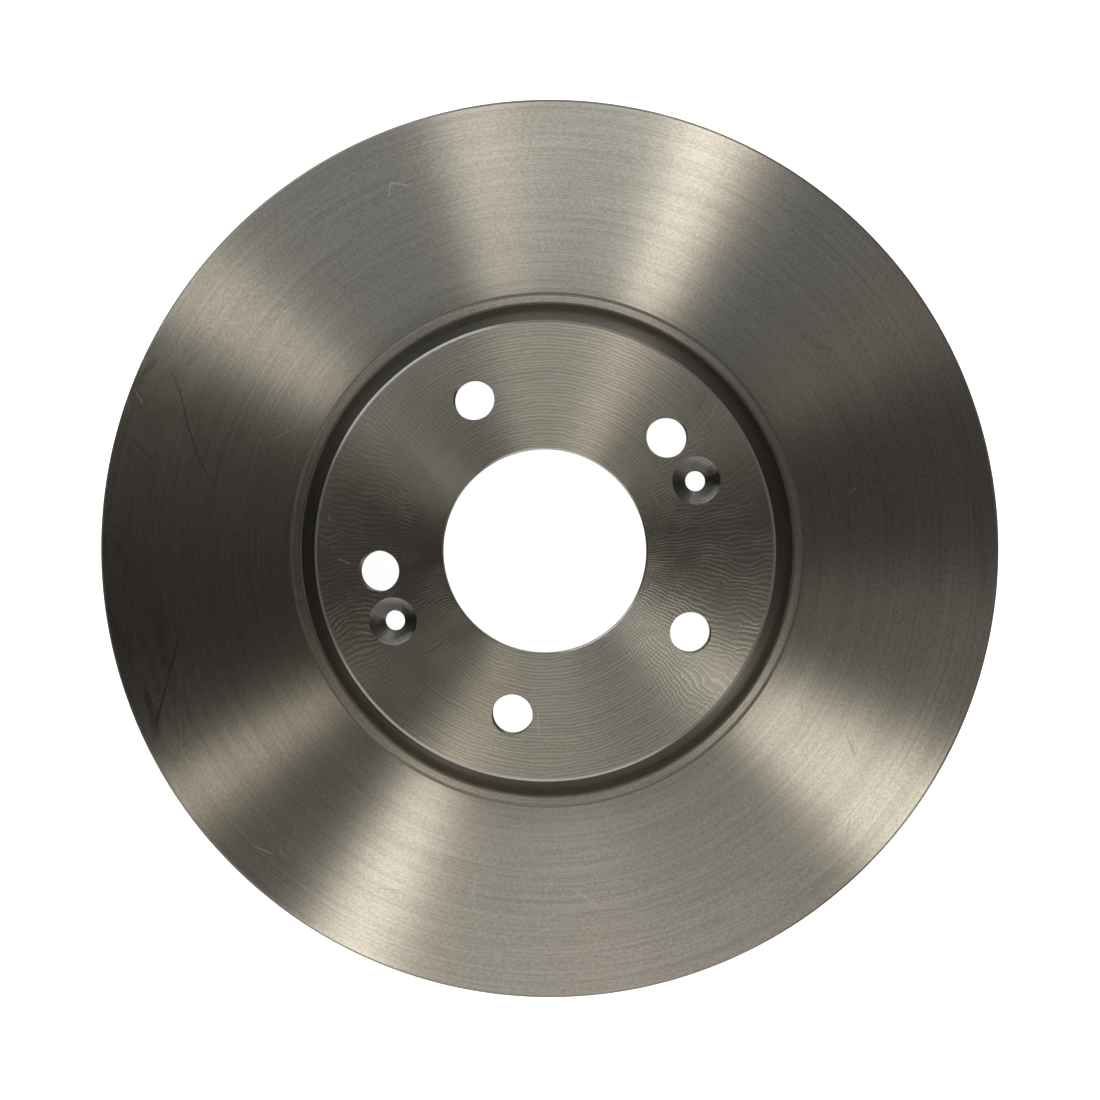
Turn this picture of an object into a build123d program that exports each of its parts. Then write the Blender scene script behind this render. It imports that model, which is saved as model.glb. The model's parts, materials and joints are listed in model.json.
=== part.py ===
from build123d import *
import os
from math import cos, radians, sin, tan

# A vented brake disc with a raised hat: one grey-iron casting, modelled as its sections.
# The origin is on the axis in the hub seat plane, and +Z points outboard, to the wheel.
# Everything is in millimetres.

# ---------------------------------------------------------------------------
# Driving dimensions
# ---------------------------------------------------------------------------

# Whole disc
disc_diameter = 320.0
disc_thickness = 28.0  # over both friction faces
overall_height = 48.0  # inboard friction face to hub face

# Hub flange, the top of the hat
flange_thickness = 7.5
pitch_circle = 114.3  # wheel studs and retaining screws share it
stud_count = 5
stud_hole_radius = 7.0
bore_radius = 35.0
bore_edge_break = 0.3  # on the wheel side
bore_lead_in = 2.0  # on the hub side, clears the fillet of the hub's spigot
screw_count = 2
screw_angle = -18.0  # from the first stud hole
screw_hole_radius = 3.5
countersink_radius = 8.2
countersink_angle = 90.0
hub_face_chamfer = 1.0
seat_height = 0.5  # the machined seat stands proud of the cast surface round it
seat_margin = 0.5  # from the edge of the seat to the start of the corner fillet

# Hat wall
stud_to_wall = 7.35  # from the edge of a stud hole to the inside of the hat
hat_wall_thickness = 7.5
hat_draft = 1.5  # degrees, the inside widens away from the flange
hat_corner_fillet = 3.0  # cast fillet under the flange
hat_mouth_round = 3.0  # rounded lower inner edge of the hat

# Relief groove round the hat, and the neck under it
groove_width = 9.0
groove_depth = 5.0  # below the outboard friction face
groove_fillet = 2.0
neck_thickness = 7.0
neck_flat = 4.0  # level underside of the neck, outside the hat wall

# Friction plates
plate_thickness = 8.5
land_width = 2.6  # narrow land between the groove and the friction face
land_drop = 0.8  # how far the land lies below the friction face
land_step_width = 0.5  # sloped step from the land up to the friction face
land_edge_break = 0.4
rim_chamfer = 1.0
inboard_setback = 4.5  # the inboard plate starts this far outside the groove
inboard_edge_chamfer = 1.5
vent_mouth_round = 3.0  # rounded edge where air enters the vents

# Cooling vanes
vane_count = 40
vane_width = 5.0
vane_fillet = 2.0  # cast fillets where a vane meets the plates
vane_inlet_setback = 5.0  # from the inboard plate's bore to the start of the vanes
vane_rim_setback = 3.0  # from the rim to the end of the vanes
run_out_gap = 0.5  # between the neck's sloped underside and the vane fillets

# ---------------------------------------------------------------------------
# Places that follow from them
# ---------------------------------------------------------------------------

disc_radius = disc_diameter / 2
pitch_radius = pitch_circle / 2
vent_gap = disc_thickness - 2 * plate_thickness

hat_inner_radius = pitch_radius + stud_hole_radius + stud_to_wall
hat_radius = hat_inner_radius + hat_wall_thickness
corner_centre_radius = hat_inner_radius - hat_corner_fillet
seat_radius = corner_centre_radius - seat_margin
groove_radius = hat_radius + groove_width
land_radius = groove_radius + land_width
friction_inner_radius = land_radius + land_step_width
inboard_bore_radius = groove_radius + inboard_setback
vane_inner_radius = inboard_bore_radius + vane_inlet_setback
vane_outer_radius = disc_radius - vane_rim_setback
run_out_radius = vane_inner_radius - vane_fillet - run_out_gap

outboard_face = flange_thickness - (overall_height - disc_thickness)
inboard_face = outboard_face - disc_thickness
vent_top = outboard_face - plate_thickness
vent_bottom = inboard_face + plate_thickness
land_face = outboard_face - land_drop
groove_floor = outboard_face - groove_depth
neck_bottom = groove_floor - neck_thickness

# The neck's underside is level for a little way, then slopes up to the outboard plate.
slope_start_radius = hat_radius + neck_flat
neck_slope = (vent_top - neck_bottom) / (run_out_radius - slope_start_radius)
neck_bottom_at_groove = neck_bottom + neck_slope * (groove_radius - slope_start_radius)

os.makedirs("parts", exist_ok=True)

# ---------------------------------------------------------------------------
# Hub flange: pilot bore, stud holes and countersunk holes for the retaining screws
# ---------------------------------------------------------------------------

with BuildPart() as hub_flange:
    with BuildSketch(Plane.XZ):
        with BuildLine():
            Polyline(
                (bore_radius + bore_lead_in, 0),
                (seat_radius, 0),
                (seat_radius, seat_height),
                (hat_radius, seat_height),
                (hat_radius, flange_thickness - hub_face_chamfer),
                (hat_radius - hub_face_chamfer, flange_thickness),
                (bore_radius + bore_edge_break, flange_thickness),
                (bore_radius, flange_thickness - bore_edge_break),
                (bore_radius, bore_lead_in),
                close=True,
            )
        make_face()
    revolve(axis=Axis.Z)
    with Locations((0, 0, flange_thickness)):
        with PolarLocations(pitch_radius, stud_count):
            Hole(stud_hole_radius)
        with PolarLocations(pitch_radius, screw_count, start_angle=screw_angle):
            CounterSinkHole(
                screw_hole_radius, countersink_radius, counter_sink_angle=countersink_angle
            )

hub_flange.part.label = "hub_flange"
export_step(hub_flange.part, "parts/hub_flange.step")

# ---------------------------------------------------------------------------
# Hat wall: turned outside, cast with draft inside
# ---------------------------------------------------------------------------

corner_end = seat_height - hat_corner_fillet
half_corner = radians(45)  # the middle of the quarter arc
corner_middle = (
    corner_centre_radius + hat_corner_fillet * cos(half_corner),
    corner_end + hat_corner_fillet * sin(half_corner),
)
hat_mouth_radius = hat_inner_radius + (corner_end - neck_bottom) * tan(radians(hat_draft))

with BuildPart() as hat_wall:
    with BuildSketch(Plane.XZ) as hat_profile:
        with BuildLine():
            ThreePointArc(
                (corner_centre_radius, seat_height),
                corner_middle,
                (hat_inner_radius, corner_end),
            )
            Polyline(
                (hat_inner_radius, corner_end),
                (hat_mouth_radius, neck_bottom),
                (hat_radius, neck_bottom),
                (hat_radius, seat_height),
                (corner_centre_radius, seat_height),
            )
        make_face()
        mouth_corner = hat_profile.vertices().group_by(Axis.Y)[0].sort_by(Axis.X)[0]
        fillet(mouth_corner, hat_mouth_round)
    revolve(axis=Axis.Z)

hat_wall.part.label = "hat_wall"
export_step(hat_wall.part, "parts/hat_wall.step")

# ---------------------------------------------------------------------------
# Neck: the web under the relief groove that joins the hat to the outboard plate
# ---------------------------------------------------------------------------

with BuildPart() as neck_web:
    with BuildSketch(Plane.XZ) as neck_profile:
        with BuildLine():
            Polyline(
                (hat_radius, groove_floor + groove_fillet),
                (hat_radius, neck_bottom),
                (slope_start_radius, neck_bottom),
                (groove_radius, neck_bottom_at_groove),
                (groove_radius, groove_floor + groove_fillet),
            )
            RadiusArc(
                (groove_radius, groove_floor + groove_fillet),
                (groove_radius - groove_fillet, groove_floor),
                groove_fillet,
            )
            Line(
                (groove_radius - groove_fillet, groove_floor),
                (hat_radius + groove_fillet, groove_floor),
            )
            RadiusArc(
                (hat_radius + groove_fillet, groove_floor),
                (hat_radius, groove_floor + groove_fillet),
                groove_fillet,
            )
        make_face()
    revolve(axis=Axis.Z)

neck_web.part.label = "neck_web"
export_step(neck_web.part, "parts/neck_web.step")

# ---------------------------------------------------------------------------
# Outboard friction plate, with the land and the step inside its friction face
# ---------------------------------------------------------------------------

with BuildPart() as outboard_plate:
    with BuildSketch(Plane.XZ):
        with BuildLine():
            Polyline(
                (groove_radius, neck_bottom_at_groove),
                (run_out_radius, vent_top),
                (disc_radius, vent_top),
                (disc_radius, outboard_face - rim_chamfer),
                (disc_radius - rim_chamfer, outboard_face),
                (friction_inner_radius, outboard_face),
                (land_radius, land_face),
                (groove_radius + land_edge_break, land_face),
                (groove_radius, land_face - land_edge_break),
                close=True,
            )
        make_face()
    revolve(axis=Axis.Z)

outboard_plate.part.label = "outboard_plate"
export_step(outboard_plate.part, "parts/outboard_plate.step")

# ---------------------------------------------------------------------------
# Inboard friction plate, with a larger bore so that air can enter the vents
# ---------------------------------------------------------------------------

with BuildPart() as inboard_plate:
    with BuildSketch(Plane.XZ) as inboard_profile:
        with BuildLine():
            Polyline(
                (inboard_bore_radius, inboard_face + inboard_edge_chamfer),
                (inboard_bore_radius + inboard_edge_chamfer, inboard_face),
                (disc_radius - rim_chamfer, inboard_face),
                (disc_radius, inboard_face + rim_chamfer),
                (disc_radius, vent_bottom),
                (inboard_bore_radius, vent_bottom),
                close=True,
            )
        make_face()
        mouth_corner = inboard_profile.vertices().group_by(Axis.Y)[-1].sort_by(Axis.X)[0]
        fillet(mouth_corner, vent_mouth_round)
    revolve(axis=Axis.Z)

inboard_plate.part.label = "inboard_plate"
export_step(inboard_plate.part, "parts/inboard_plate.step")

# ---------------------------------------------------------------------------
# Cooling vanes: straight radial ribs with rounded ends and cast fillets
# ---------------------------------------------------------------------------

# One vane stands between two slabs, which give its fillets something to run into and are
# then cut away again.
slab_margin = 2 * vane_fillet  # how far a slab reaches past the vane, on each side
vane_length = vane_outer_radius - vane_inner_radius
slab_length = vane_length + 2 * slab_margin
slab_width = vane_width + 2 * slab_margin
vane_centre = (vane_inner_radius + vane_outer_radius) / 2

with BuildPart() as vane:
    with BuildSketch(Plane.XY.offset(vent_bottom)):
        with Locations((vane_centre, 0)):
            SlotOverall(vane_length, vane_width)
    extrude(amount=vent_gap)
    with BuildSketch(Plane.XY.offset(vent_top), Plane.XY.offset(vent_bottom - vane_fillet)):
        with Locations((vane_centre, 0)):
            Rectangle(slab_length, slab_width)
    extrude(amount=vane_fillet)
    foot_edges = vane.edges().filter_by(
        lambda edge: vent_bottom <= edge.center().Z <= vent_top
        and abs(edge.center().Y) <= vane_width
        and abs(edge.center().X - vane_centre) <= vane_length / 2
    )
    fillet(foot_edges.filter_by(Plane.XY), vane_fillet)
    with BuildSketch(Plane.XY.offset(vent_bottom)):
        with Locations((vane_centre, 0)):
            Rectangle(slab_length, slab_width)
    extrude(amount=vent_gap, mode=Mode.INTERSECT)

with BuildPart() as cooling_vanes:
    with PolarLocations(0, vane_count):
        add(vane.part)

cooling_vanes.part.label = "cooling_vanes"
export_step(cooling_vanes.part, "parts/cooling_vanes.step")
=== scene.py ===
"""Vented brake disc: the looks of the casting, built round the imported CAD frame."""

import json
import logging
import math
from dataclasses import dataclass, replace
from enum import Enum
from typing import ClassVar

import bpy
from mathutils import Matrix, Vector


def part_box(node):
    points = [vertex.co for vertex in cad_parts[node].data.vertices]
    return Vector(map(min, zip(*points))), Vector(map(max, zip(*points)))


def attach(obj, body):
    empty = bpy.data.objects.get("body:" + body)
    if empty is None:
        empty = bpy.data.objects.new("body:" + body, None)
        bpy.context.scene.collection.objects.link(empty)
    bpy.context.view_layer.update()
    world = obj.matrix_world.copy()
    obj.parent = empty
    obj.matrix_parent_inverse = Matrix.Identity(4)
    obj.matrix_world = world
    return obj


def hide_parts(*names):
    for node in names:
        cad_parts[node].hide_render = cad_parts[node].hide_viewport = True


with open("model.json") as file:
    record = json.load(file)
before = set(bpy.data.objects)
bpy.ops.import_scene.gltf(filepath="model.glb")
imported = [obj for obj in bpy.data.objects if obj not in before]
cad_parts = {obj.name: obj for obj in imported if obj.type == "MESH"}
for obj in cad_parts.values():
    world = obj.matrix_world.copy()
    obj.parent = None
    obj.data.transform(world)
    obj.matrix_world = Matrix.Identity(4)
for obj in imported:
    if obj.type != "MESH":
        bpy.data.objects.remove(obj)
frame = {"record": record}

log = logging.getLogger("brake_disc")

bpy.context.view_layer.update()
BODY = "root"
MM = 0.001
FULL_TURN = 2 * math.pi

Colour = tuple[float, float, float]
Point = tuple[float, float]


class Skin(Enum):
    """The ways in which the faces of the casting are finished."""

    FRICTION = "turned_friction_face"
    LAND = "rough_land"
    HUB_FACE = "turned_hub_face"
    HAT_SIDE = "turned_hat_side"
    GROOVE = "turned_groove"
    RIM = "turned_rim"
    CHAMFER = "turned_chamfer"
    SEAT = "machined_seat"
    BORE = "machined_bore"
    DRILLED = "drilled_wall"
    COUNTERSINK = "countersunk_cone"
    CAST = "cast_skin"


class Across(Enum):
    """Which way the tool travelled while it cut its rings."""

    FACE = "outwards"
    SIDE = "upwards"


class Look(Enum):
    """What a patch on a face looks like."""

    SCUFF = "crossing bright strokes"
    SMEAR = "ragged oil"
    FILM = "soft film of oil"


# --- Nodes: placing and joining them ---


class Wire:
    """One output of a node, which can be worked on like a number or a vector."""

    def __init__(self, bench: "Bench", node: bpy.types.Node, output: int | str = 0) -> None:
        """Picks one output of a node that stands on a bench."""
        self.bench, self.node = bench, node
        self.socket = node.outputs[output] if len(node.outputs) else None

    def __getitem__(self, output: int | str) -> "Wire":
        """Another output of the same node."""
        return Wire(self.bench, self.node, output)

    def work(self, operation: str, other: object) -> "Wire":
        """Joins this value and another, as vectors where this one is a vector.

        Args:
            operation: the Math or Vector Math node's operation.
            other: a wire, a number or a vector.

        Returns:
            The result.
        """
        if self.socket.type not in ("VECTOR", "RGBA"):
            return self.bench.maths(operation, self, other)
        kind = other.socket.type if isinstance(other, Wire) else type(other)
        return self.bench.vector("SCALE" if kind in ("VALUE", float) else operation, self, other)

    def __add__(self, other: object) -> "Wire":
        """The sum."""
        return self.work("ADD", other)

    def __sub__(self, other: object) -> "Wire":
        """The difference."""
        return self.work("SUBTRACT", other)

    def __mul__(self, other: object) -> "Wire":
        """The product, or the vector scaled by a number."""
        return self.work("MULTIPLY", other)

    def __truediv__(self, other: object) -> "Wire":
        """The quotient."""
        return self.work("DIVIDE", other)

    def __rtruediv__(self, other: float) -> "Wire":
        """The quotient of a number and this one."""
        return self.bench.maths("DIVIDE", other, self)

    def fade(self, low: object, high: object) -> "Wire":
        """A smooth step from 0 at low to 1 at high, which may lie below low."""
        inputs = {"Value": self, "From Min": low, "From Max": high}
        return self.bench.add("ShaderNodeMapRange", inputs, interpolation_type="SMOOTHSTEP")

    def spread(self, low: float, high: float) -> "Wire":
        """Stretches 0 to 1 over low to high."""
        return self.bench.add("ShaderNodeMapRange", {"Value": self, "To Min": low, "To Max": high})

    def turned(self, angle: object) -> "Wire":
        """The vector turned round Z."""
        inputs = {"Vector": self, "Angle": angle}
        return self.bench.add("ShaderNodeVectorRotate", inputs, rotation_type="Z_AXIS")


class Bench:
    """Places the nodes of one tree and joins them."""

    def __init__(self, tree: bpy.types.NodeTree) -> None:
        """Keeps the tree to work on, with no inputs of its own yet."""
        self.tree = tree
        self.takes: dict[str, Wire] = {}

    @classmethod
    def blank(cls, owner: bpy.types.Material | bpy.types.World) -> "Bench":
        """Empties the tree of a new material or world.

        Args:
            owner: the material or world.

        Returns:
            The bench to fill it on.
        """
        owner.use_nodes = True
        owner.node_tree.nodes.clear()
        return cls(owner.node_tree)

    @classmethod
    def group(cls, name: str, kind: str, takes: str, gives: str) -> "Bench":
        """Starts a node group with named sockets.

        Args:
            name: the group's name.
            kind: Shader or Geometry.
            takes: its inputs, parted by commas, each with its type unless it is a Float.
            gives: its outputs, in the same way.

        Returns:
            The group's bench, with its inputs in takes.
        """
        bench = cls(bpy.data.node_groups.new(name, f"{kind}NodeTree"))
        for way, titles in (("INPUT", takes), ("OUTPUT", gives)):
            for title in titles.split(", "):
                title, _, socket = title.partition(":")
                bench.tree.interface.new_socket(
                    title, in_out=way, socket_type=f"NodeSocket{socket or 'Float'}")
        start = bench.add("NodeGroupInput")
        bench.takes = {s.name: start[s.name] for s in start.node.outputs if s.name}
        bench.add("NodeGroupOutput")
        return bench

    def give(self, **results: Wire) -> bpy.types.NodeTree:
        """Ends a group.

        Args:
            **results: its outputs by name.

        Returns:
            The group's tree.
        """
        end = next(node for node in self.tree.nodes if node.bl_idname == "NodeGroupOutput")
        for name, value in results.items():
            self.feed(end.inputs[name], value)
        return self.tree

    def add(self, kind: str, inputs: dict | None = None, **settings: object) -> Wire:
        """Places a node.

        Args:
            kind: the node's type name.
            inputs: values or wires for its inputs, by name or number.
            **settings: the node's own settings.

        Returns:
            The new node's first output.
        """
        node = self.tree.nodes.new(kind)
        for name, value in settings.items():
            setattr(node, name, value)
        for key, value in (inputs or {}).items():
            self.feed(node.inputs[key], value)
        return Wire(self, node)

    def feed(self, socket: bpy.types.NodeSocket, value: object) -> None:
        """Links an input to a wire, or sets it to a plain value.

        Args:
            socket: the input to feed.
            value: a wire or a constant.
        """
        if isinstance(value, Wire):
            self.tree.links.new(value.socket, socket)
        else:
            socket.default_value = value

    def place(self, group: bpy.types.NodeTree, inputs: dict) -> Wire:
        """Places a shared group with its own values."""
        kind = self.tree.bl_idname.replace("NodeTree", "NodeGroup")
        return self.add(kind, inputs, node_tree=group)

    def maths(self, operation: str, *values: object, clamp: bool = False) -> Wire:
        """Works on numbers with a Math node."""
        inputs = dict(enumerate(values))
        return self.add("ShaderNodeMath", inputs, operation=operation, use_clamp=clamp)

    def vector(self, operation: str, *values: object) -> Wire:
        """Works on vectors with a Vector Math node.

        Args:
            operation: the node's operation.
            *values: its inputs in order.

        Returns:
            The result, a number for a length or a dot product.
        """
        slots = (0, 3) if operation == "SCALE" else (0, 1)
        result = self.add(
            "ShaderNodeVectorMath", dict(zip(slots, values)), operation=operation)
        return result["Value"] if operation in ("LENGTH", "DOT_PRODUCT") else result

    def blend(self, factor: object, low: object, high: object) -> Wire:
        """Runs from one number to another."""
        return self.add("ShaderNodeMix", {0: factor, 2: low, 3: high})

    def tint(self, factor: object, base: object, over: object) -> Wire:
        """Lays one colour over another."""
        base, over = ((*c, 1.0) if isinstance(c, tuple) else c for c in (base, over))
        return self.add("ShaderNodeMix", {0: factor, 6: base, 7: over}, data_type="RGBA")[2]

    def noise(self, vector: Wire | None = None, w: Wire | None = None, scale: object = 1.0,
              detail: float = 2.0, roughness: float = 0.5, distortion: float = 0.0) -> Wire:
        """A noise pattern from 0 to 1, over a vector, a number or both.

        Args:
            vector: the place in space.
            w: the number that runs.
            scale: how fine the pattern is.
            detail: how many finer layers it has.
            roughness: how strong they are.
            distortion: how far the pattern is bent.

        Returns:
            The pattern.
        """
        inputs = {"Vector": vector, "W": w, "Scale": scale, "Detail": detail,
                  "Roughness": roughness, "Distortion": distortion}
        dimensions = ("3D" if w is None else "4D") if vector else "1D"
        return self.add(
            "ShaderNodeTexNoise", {key: v for key, v in inputs.items() if v is not None},
            noise_dimensions=dimensions)

    def sample(self, geometry: Wire, value: Wire, index: Wire, data_type: str) -> Wire:
        """Reads a value at one point of a geometry."""
        inputs = {"Geometry": geometry, "Value": value, "Index": index}
        return self.add("GeometryNodeSampleIndex", inputs, data_type=data_type)

    def dress(self, geometry: Wire, material: bpy.types.Material, **chosen: Wire) -> Wire:
        """Gives a finish to a geometry, or to its chosen faces alone."""
        inputs = {"Geometry": geometry, "Material": material, **chosen}
        return self.add("GeometryNodeSetMaterial", inputs)

    def surface(self, height: Wire, depth: float, inputs: dict) -> None:
        """Ends a material with a bumped shader.

        Args:
            height: the bump's height.
            depth: how deep the bump goes.
            inputs: the shader's other inputs.
        """
        bump = self.add("ShaderNodeBump", {"Height": height, "Distance": depth, "Strength": 1.0})
        shader = self.add("ShaderNodeBsdfPrincipled", {**inputs, "Normal": bump})
        self.add("ShaderNodeOutputMaterial", {"Surface": shader})


# --- Shared surface effects ---


class Effects:
    """The shader groups that the finishes share, each built once."""

    def __init__(self) -> None:
        """Builds every group."""
        self.marks = self.tool_marks()
        self.smudge = self.smudges()
        self.scratch = self.scratches()
        self.grain = self.cast_grain()
        self.ripple = self.ripples()
        self.patch = self.patches()
        self.line = self.line_marks()

    @staticmethod
    def tool_marks() -> bpy.types.NodeTree:
        """Rings left by a turning tool.

        Returns:
            The group: Height and Tone from the travel across the rings and the heading round them.
        """
        bench = Bench.group(
            "tool_marks", "Shader", "Travel, Heading:Vector, Pitch, Even, Broken, Grain",
            "Height, Tone")
        t = bench.takes
        heading, ring = t["Heading"], t["Travel"] / t["Pitch"]
        whole = bench.noise(w=ring, roughness=0.6)
        parts = bench.noise(heading * 2.6, ring * 0.8, detail=3.0, roughness=0.6)
        wobble = bench.noise(heading * 5.0, ring * 0.25)
        steady = bench.maths("SINE", (wobble * 2.5 + ring) * FULL_TURN) * 0.2 + 0.5
        rings = bench.blend(t["Even"], bench.blend(t["Broken"], whole, parts), steady)
        specks = bench.noise(heading * 130.0, ring * 1.7)
        wide = ring * 0.09
        bands = bench.noise(w=wide, detail=4.0, roughness=0.65)
        arcs = bench.noise(heading * 1.7, wide, detail=4.0, roughness=0.6)
        return bench.give(
            Height=specks * t["Grain"] + rings, Tone=((bands + arcs) * 0.5).fade(0.3, 0.7))

    @staticmethod
    def ripples() -> bpy.types.NodeTree:
        """Wavy chatter marks that run outwards across the rings, on the two opposite sides that the
        lamps leave dark, with a pale painted glint along them.

        Returns:
            The group: Height, the painted glint along the marks, and Side from a point, the marks'
                number, wander and lean.
        """
        bench = Bench.group(
            "chatter_ripples", "Shader", "Point:Vector, Count, Wander, Lean",
            "Height, Lines, Side")
        t = bench.takes
        parts = bench.add("ShaderNodeSeparateXYZ", {0: t["Point"]})
        angle = bench.maths("ARCTAN2", parts[1], parts[0])
        bend = bench.noise(t["Point"], scale=48.0, detail=3.0, roughness=0.55)
        wave = bench.maths("SINE", bend * t["Wander"] + angle * t["Count"])
        # Side: the two opposite sides that the lamps leave dark.
        side = bench.maths("ABSOLUTE", bench.maths("COSINE", angle - t["Lean"])).fade(0.45, 0.85)
        cloud = bench.noise(t["Point"], scale=55.0, detail=3.0, roughness=0.6)
        here = cloud.fade(0.4, 0.62).spread(0.3, 1.0) * side
        # The second output tints the colour pale along the ripples: a painted glint where they
        # would catch light.
        return bench.give(Height=wave * here, Lines=wave.fade(0.1, 1.0) * here, Side=side)

    @staticmethod
    def patches() -> bpy.types.NodeTree:
        """One ragged patch at a given place.

        Returns:
            The group: a ragged Mask and a soft one, Near, from a point and the patch's centre.
        """
        bench = Bench.group(
            "ragged_patch", "Shader", "Point:Vector, Centre:Vector, Reach, Turn, Strokes",
            "Mask, Near")
        t = bench.takes
        turned = (t["Point"] - t["Centre"]).turned(t["Turn"])
        away = bench.vector("LENGTH", turned * (0.5, 1.0, 1.0))
        near = away.fade(t["Reach"], t["Reach"] * 0.25)
        ragged = bench.noise(
            turned * (0.22, 1.0, 1.0), scale=t["Strokes"], detail=5.0, roughness=0.65,
            distortion=0.8)
        return bench.give(Mask=near * ragged.fade(0.38, 0.74), Near=near)

    @staticmethod
    def line_marks() -> bpy.types.NodeTree:
        """One thin straight scratch between two places.

        Returns:
            The group: a Mask from a point, the scratch's ends and its width.
        """
        bench = Bench.group(
            "line_mark", "Shader", "Point:Vector, Start:Vector, End:Vector, Width", "Mask")
        t = bench.takes
        run, away = t["End"] - t["Start"], t["Point"] - t["Start"]
        along, whole = bench.vector("DOT_PRODUCT", away, run), bench.vector("DOT_PRODUCT", run, run)
        share = bench.maths("DIVIDE", along, whole, clamp=True)
        gap = bench.vector("LENGTH", away - run * share)
        return bench.give(Mask=gap.fade(t["Width"], t["Width"] * 0.3))

    @staticmethod
    def smudges() -> bpy.types.NodeTree:
        """Soft patches of oil, fingers or handling.

        Returns:
            The group: a Mask from a point, the patches' size, cover and softness of edge.
        """
        bench = Bench.group("smudges", "Shader", "Point:Vector, Size, Cover, Edge", "Mask")
        t = bench.takes
        cloud = bench.noise(
            t["Point"], scale=1.0 / t["Size"], detail=6.0, roughness=0.62, distortion=0.5)
        low = t["Cover"] * -0.4 + 0.72
        return bench.give(Mask=cloud.fade(low, low + t["Edge"]))

    @staticmethod
    def scratches() -> bpy.types.NodeTree:
        """Short straight scratches, each alone in its own cell.

        Returns:
            The group: a Mask from a point, the cells' size, the scratches' width and direction.
        """
        bench = Bench.group(
            "scratches", "Shader", "Point:Vector, Cell, Width, Turn, Fan, Amount", "Mask")
        t = bench.takes
        turned = t["Point"].turned(t["Turn"])
        bend = bench.noise(turned, scale=60.0, detail=1.0)["Color"] - (0.5, 0.5, 0.5)
        turned = turned + bend * 0.004
        cells = bench.add(
            "ShaderNodeTexVoronoi", {"Vector": turned, "Scale": 1.0 / t["Cell"], "Randomness": 1.0},
            voronoi_dimensions="2D")
        luck = bench.add("ShaderNodeSeparateColor", {0: cells["Color"]})
        own = (turned - cells["Position"]).turned(luck[2] * t["Fan"])
        away = bench.add("ShaderNodeSeparateXYZ", {0: own})
        along, across = (bench.maths("ABSOLUTE", away[i]) for i in (0, 1))
        reach = t["Cell"] * luck[0].spread(0.08, 0.42)
        line = across.fade(t["Width"], t["Width"] * 0.3)
        chosen = bench.maths("LESS_THAN", luck[1], t["Amount"])
        return bench.give(Mask=line * along.fade(reach, reach * 0.5) * chosen)

    @staticmethod
    def cast_grain() -> bpy.types.NodeTree:
        """The pebbled skin that a sand mould leaves.

        Returns:
            The group: Height and Tone from a point and the size of a grain.
        """
        bench = Bench.group("cast_grain", "Shader", "Point:Vector, Grain", "Height, Tone")
        t = bench.takes
        fine = 1.0 / t["Grain"]
        sand = bench.noise(t["Point"], scale=fine, detail=4.0, roughness=0.65)
        swell = bench.noise(t["Point"], scale=fine * 0.14, detail=3.0)
        cells = bench.add(
            "ShaderNodeTexVoronoi", {"Vector": t["Point"], "Scale": fine * 0.45, "Randomness": 1.0})
        pits = cells["Distance"].fade(0.26, 0.1)
        return bench.give(
            Height=sand + swell * 0.9 - pits * 0.5, Tone=(sand + swell).fade(0.75, 1.25))


# --- Marks on the faces ---

NICKS = {"Cell": 15 * MM, "Width": 0.2 * MM, "Turn": 0.7, "Fan": 6.3}
STROKES = {"Cell": 6 * MM, "Width": 0.32 * MM, "Fan": 0.5, "Amount": 0.9}
CROSSING = (-0.5, 0.9)
BRIGHT: Colour = (0.75, 0.73, 0.70)
# PALE tints real scuffs, and also the painted glint on the hub's chatter lines.
PALE: Colour = (0.62, 0.60, 0.56)
OIL: Colour = (0.035, 0.03, 0.026)


def polar(azimuth: float, radius: float, height: float) -> tuple[float, float, float]:
    """The place at an azimuth in degrees from +X, and a radius and height in millimetres."""
    turn = math.radians(azimuth)
    return (radius * MM * math.cos(turn), radius * MM * math.sin(turn), height * MM)


@dataclass(frozen=True)
class Patch:
    """A patch at one place of a face, with its lengths in millimetres."""

    azimuth: float
    radius: float
    reach: float
    turn: float
    strokes: float
    strength: float
    look: Look = Look.SMEAR

    @property
    def colour(self) -> Colour:
        """What the patch is tinted with."""
        return PALE if self.look is Look.SCUFF else OIL

    def mask(self, bench: Bench, effects: Effects, point: Wire, level: float) -> Wire:
        """Where the patch lies.

        Args:
            bench: the material's bench.
            effects: the shared shader groups.
            point: the place on the face.
            level: the face's height in millimetres.

        Returns:
            The mask.
        """
        turn = -math.radians(self.azimuth + 90 + self.turn)
        place = bench.place(effects.patch, {
            "Point": point, "Centre": polar(self.azimuth, self.radius, level),
            "Reach": self.reach * MM, "Turn": turn, "Strokes": self.strokes})
        if self.look is not Look.SCUFF:
            return place["Near" if self.look is Look.FILM else "Mask"]
        strokes = (
            bench.place(effects.scratch, {"Point": point, "Turn": turn + side, **STROKES})
            for side in CROSSING)
        return bench.maths("MAXIMUM", *strokes) * place["Near"]


@dataclass(frozen=True)
class Scratch:
    """One straight scratch from one azimuth and radius to another, lengths in millimetres."""

    start: Point
    end: Point
    colour: Colour = PALE
    strength: float = 0.7
    width: float = 0.35
    look: ClassVar[Look] = Look.SCUFF

    def mask(self, bench: Bench, effects: Effects, point: Wire, level: float) -> Wire:
        """Where the scratch lies on a face at a level."""
        ends = {"Start": polar(*self.start, level), "End": polar(*self.end, level)}
        return bench.place(effects.line, {"Point": point, "Width": self.width * MM, **ends})


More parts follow.
